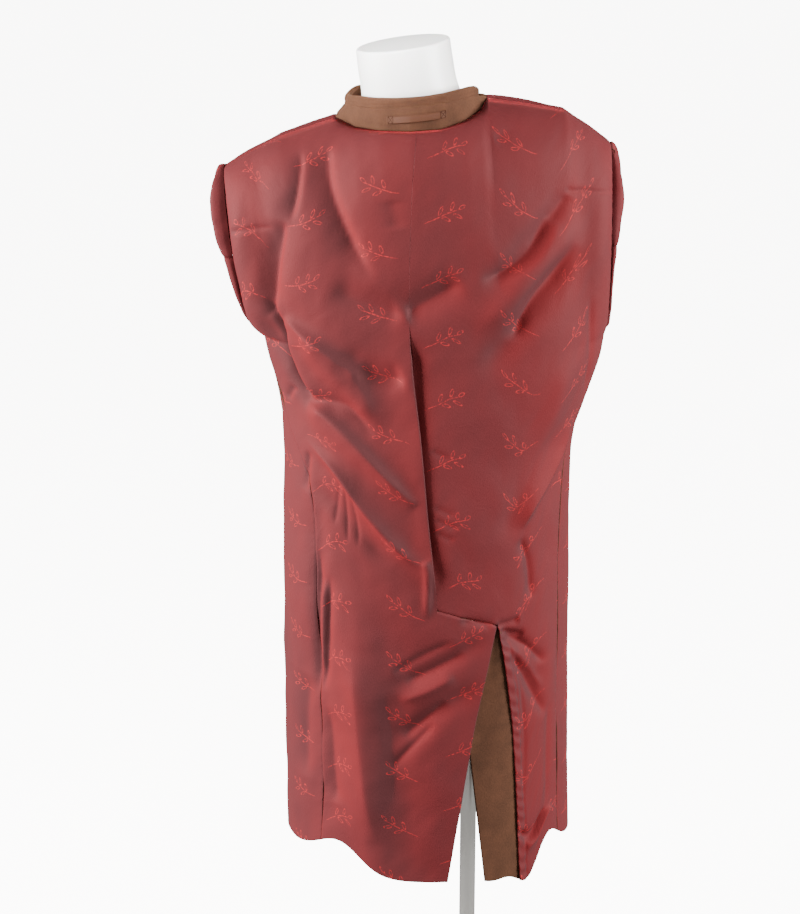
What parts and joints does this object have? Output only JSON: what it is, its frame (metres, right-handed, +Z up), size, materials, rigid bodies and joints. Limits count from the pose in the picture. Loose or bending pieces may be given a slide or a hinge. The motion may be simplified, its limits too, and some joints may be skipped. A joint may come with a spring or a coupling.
{
  "type": "wool coat inside out on a dress form",
  "caption": "Collared wool coat worn inside out, lining outward, sleeves pushed in, on a limbless dress form with a pole and round base.",
  "frame": {"origin": "centre of the base's underside, on the floor, on the pole's axis", "axes": "+Z up along the pole; the coat's back, which the picture shows, faces -Y and its open front +Y; +X is to the right in the picture"},
  "size_m": [0.5245, 0.38, 1.4773],
  "materials": {
    "lining": "satin weave with small woven sprigs",
    "wool": "napped wool",
    "leather": "matt",
    "button": "polished horn look",
    "form": "white, half gloss",
    "chrome": "polished",
    "base": "white, half gloss"
  },
  "bodies": {
    "root": {"base": "base", "pole": "chrome", "form_plate": "chrome", "dress_form": "form", "back_left": "lining", "back_right": "lining", "vent_underlap": "wool", "front_left": "lining", "front_right": "lining", "facing_left": "wool", "facing_right": "wool", "back_neck_facing": "wool", "collar": "wool", "hanger_loop": "leather", "sleeve_left_top": "lining", "sleeve_left_under": "lining", "sleeve_right_top": "lining", "sleeve_right_under": "lining", "button_1": "button", "button_2": "button", "button_3": "button", "button_4": "button"}
  },
  "joints": []
}
